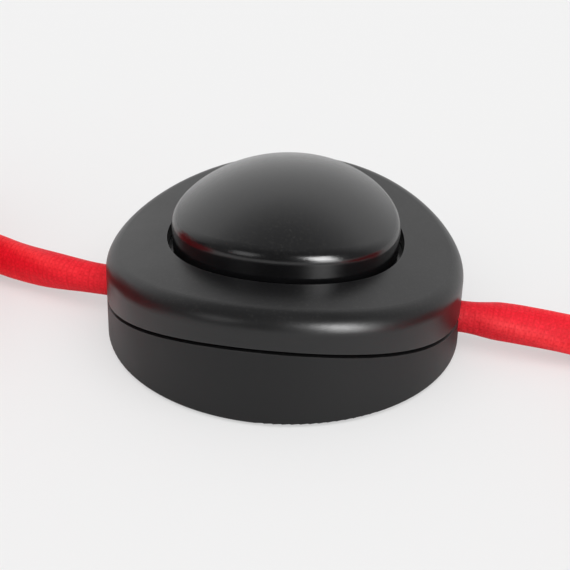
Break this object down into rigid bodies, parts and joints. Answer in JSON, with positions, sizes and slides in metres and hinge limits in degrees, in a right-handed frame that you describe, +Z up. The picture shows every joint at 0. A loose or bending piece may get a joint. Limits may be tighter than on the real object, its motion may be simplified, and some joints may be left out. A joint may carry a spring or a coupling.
{
  "type": "foot switch",
  "caption": "Round in-line foot switch for a lamp: a domed black push button in an arched two-part casing on a red textile flex, with a plug and a bare end.",
  "frame": {"origin": "on the floor under the middle of the round casing", "axes": "+Z up, X along the flex with the plug's side at -X, -Y towards the user's foot"},
  "size_m": [0.2927, 0.0868, 0.0615],
  "materials": {
    "cover_plastic": "satin black moulded plastic",
    "base_plastic": "satin black moulded plastic",
    "button_plastic": "satin black moulded plastic, a little glossier",
    "inner_plastic": "natural polyamide",
    "rotor_plastic": "pale acetal",
    "brass": "bright brass",
    "zinc_steel": "zinc plated steel",
    "spring_steel": "spring wire",
    "nickel": "nickel plated brass",
    "pad_rubber": "soft black rubber",
    "red_braid": "red textile braid",
    "brown_insulation": "brown insulation",
    "blue_insulation": "blue insulation",
    "earth_insulation": "green and yellow insulation",
    "plug_plastic": "satin black moulded plastic"
  },
  "bodies": {
    "casing": {"base_shell": "base_plastic", "top_cover": "cover_plastic", "return_spring": "spring_steel", "switch_housing": "inner_plastic", "housing_lid": "inner_plastic", "line_in_contact": "brass", "line_out_contact": "brass", "line_in_terminal": "brass", "line_out_terminal": "brass", "neutral_terminal": "brass", "earth_terminal": "brass", "terminal_screws": "zinc_steel", "input_cord_clamp": "inner_plastic", "output_cord_clamp": "inner_plastic", "clamp_screws": "zinc_steel", "cover_screws": "zinc_steel", "housing_screws": "zinc_steel", "rubber_pads": "pad_rubber", "input_brown_core": "brown_insulation", "output_brown_core": "brown_insulation", "input_blue_core": "blue_insulation", "output_blue_core": "blue_insulation", "input_earth_core": "earth_insulation", "output_earth_core": "earth_insulation", "input_cord": "red_braid", "output_cord": "red_braid", "input_coil": "red_braid", "output_coil": "red_braid", "input_tail": "red_braid", "output_tail": "red_braid", "plug_body": "plug_plastic", "plug_pins": "nickel", "plug_earth_clips": "nickel", "plug_screw": "zinc_steel", "lamp_brown_core": "brown_insulation", "lamp_blue_core": "blue_insulation", "lamp_earth_core": "earth_insulation", "lamp_ferrules": "nickel"},
    "button": {"foot_button": "button_plastic", "plunger": "rotor_plastic"},
    "rotor": {"ratchet_rotor": "rotor_plastic", "contact_bridge": "brass"}
  },
  "joints": [
    {"name": "button_press", "type": "slide", "parent": "casing", "child": "button", "axis": [0, 0, -1], "range_m": [0, 0.0035], "stiffness_N_per_m": 800, "springref_m": -0.004, "deforming": ["return_spring"]},
    {"name": "rotor_turn", "type": "hinge", "parent": "casing", "child": "rotor", "pos_m": [0, 0, 0.0068], "axis": [0, 0, 1], "range_deg": [0, 45]}
  ],
  "couplings": [
    {"joint": "rotor_turn", "follows": "button_press", "rad_per_m": 224.3}
  ]
}
